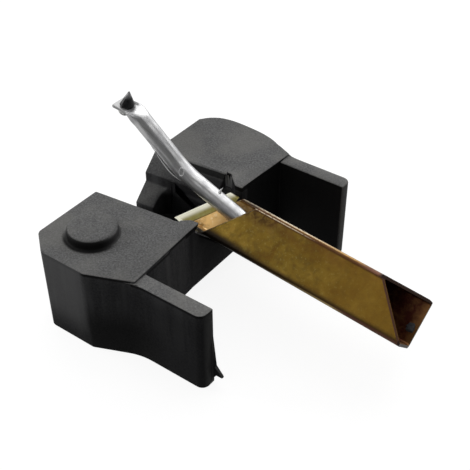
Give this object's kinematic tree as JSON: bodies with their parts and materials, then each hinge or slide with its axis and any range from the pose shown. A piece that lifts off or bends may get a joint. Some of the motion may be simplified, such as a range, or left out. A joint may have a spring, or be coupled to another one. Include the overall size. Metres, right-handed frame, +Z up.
{
  "type": "turntable stylus",
  "caption": "Plug-in turntable stylus: a square brass shank and a bent aluminium cantilever with a cone tip, held in a moulded grip with two guide arms.",
  "frame": {"origin": "on the shank's axis, where the shank leaves the back of the grip", "axes": "+X along the grip towards the shank's free end, +Y across the grip away from the raised button, +Z up out of the grip's top face, on the tip's side"},
  "size_m": [0.0164, 0.0138, 0.0089],
  "materials": {
    "grip": "fine matte moulded plastic",
    "brass": "tarnished, mottled",
    "pale_brass": "bright, satin",
    "aluminium": "drawn, satin",
    "carrier": "moulded",
    "elastomer": "matte",
    "magnet": "ground",
    "tip": "polished dark stone",
    "bond": "clear resin"
  },
  "bodies": {
    "housing": {"grip": "grip", "shank_tube": "brass", "shank_cradle": "pale_brass", "damper_carrier": "carrier"},
    "damper": {"damper_ring": "elastomer"},
    "stylus": {"cantilever": "aluminium", "magnet": "magnet", "stylus_tip": "tip", "tip_bond": "bond"}
  },
  "joints": [
    {"name": "stylus_sway", "type": "hinge", "parent": "housing", "child": "damper", "pos_m": [0.00252, 0, -0.00028], "axis": [0, 0, 1], "range_deg": [-3, 3], "stiffness_Nm_per_rad": 0.003},
    {"name": "stylus_lift", "type": "hinge", "parent": "damper", "child": "stylus", "pos_m": [0.00252, 0, -0.00028], "axis": [0, 1, 0], "range_deg": [-3, 3], "stiffness_Nm_per_rad": 0.003}
  ]
}
